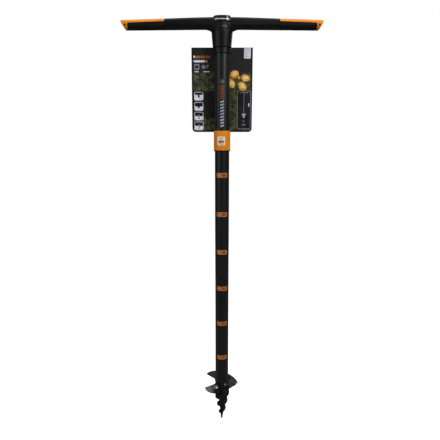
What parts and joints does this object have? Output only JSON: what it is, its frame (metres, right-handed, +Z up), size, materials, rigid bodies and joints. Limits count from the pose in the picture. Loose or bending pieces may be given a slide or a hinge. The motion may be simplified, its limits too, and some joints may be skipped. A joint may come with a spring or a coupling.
{
  "type": "post hole digger",
  "caption": "Hand auger with a T handle, a round steel shaft, a sliding depth collar and a screw-pointed two-cutter head.",
  "frame": {"origin": "tip of the pilot screw, on the axis of the shaft", "axes": "+Z up the shaft, crossbar along X, front of the tool (its label side) towards -Y"},
  "size_m": [0.4764, 0.0982, 1.0712],
  "materials": {
    "black_moulding": "satin black moulded plastic",
    "soft_grip": "matt black soft-touch rubber",
    "orange_plastic": "satin orange moulded plastic",
    "dark_cap": "smooth black plastic",
    "badge": "blank grey badge",
    "core_steel": "plain steel",
    "black_paint": "satin black powder coat",
    "head_paint": "worn dark grey coat",
    "cutter_steel": "ground steel",
    "zinc": "bright zinc plate",
    "label": "white film label",
    "liner_plastic": "black low-friction plastic",
    "card": "printed card",
    "foam": "black foam tape"
  },
  "bodies": {
    "digger": {"handle_body": "black_moulding", "handle_core_tube": "core_steel", "handle_screws": "zinc", "grip_shell_left": "orange_plastic", "grip_shell_right": "orange_plastic", "grip_pad_left": "soft_grip", "grip_pad_right": "soft_grip", "top_cap": "dark_cap", "front_badge": "badge", "socket_bushing": "black_moulding", "shaft_tube": "black_paint", "head_hub": "head_paint", "auger_flight": "head_paint", "cutter_left": "cutter_steel", "cutter_right": "cutter_steel", "cutter_bolts": "zinc", "cutter_washers": "zinc", "cutter_nuts": "zinc", "head_lock_bolt": "zinc", "shank_pin": "zinc", "pilot_screw": "head_paint", "retail_card": "card", "card_foam_pad": "foam"},
    "collar_slider": {"collar_liner": "liner_plastic", "collar_friction_ring": "soft_grip"},
    "collar_ring": {"collar_sleeve": "orange_plastic", "collar_label": "label"}
  },
  "joints": [
    {"name": "collar_slide", "type": "slide", "parent": "digger", "child": "collar_slider", "axis": [0, 0, 1], "range_m": [-0.61, 0.115]},
    {"name": "collar_turn", "type": "hinge", "parent": "collar_slider", "child": "collar_ring", "pos_m": [0, 0, 0.786], "axis": [0, 0, 1], "continuous": true}
  ]
}
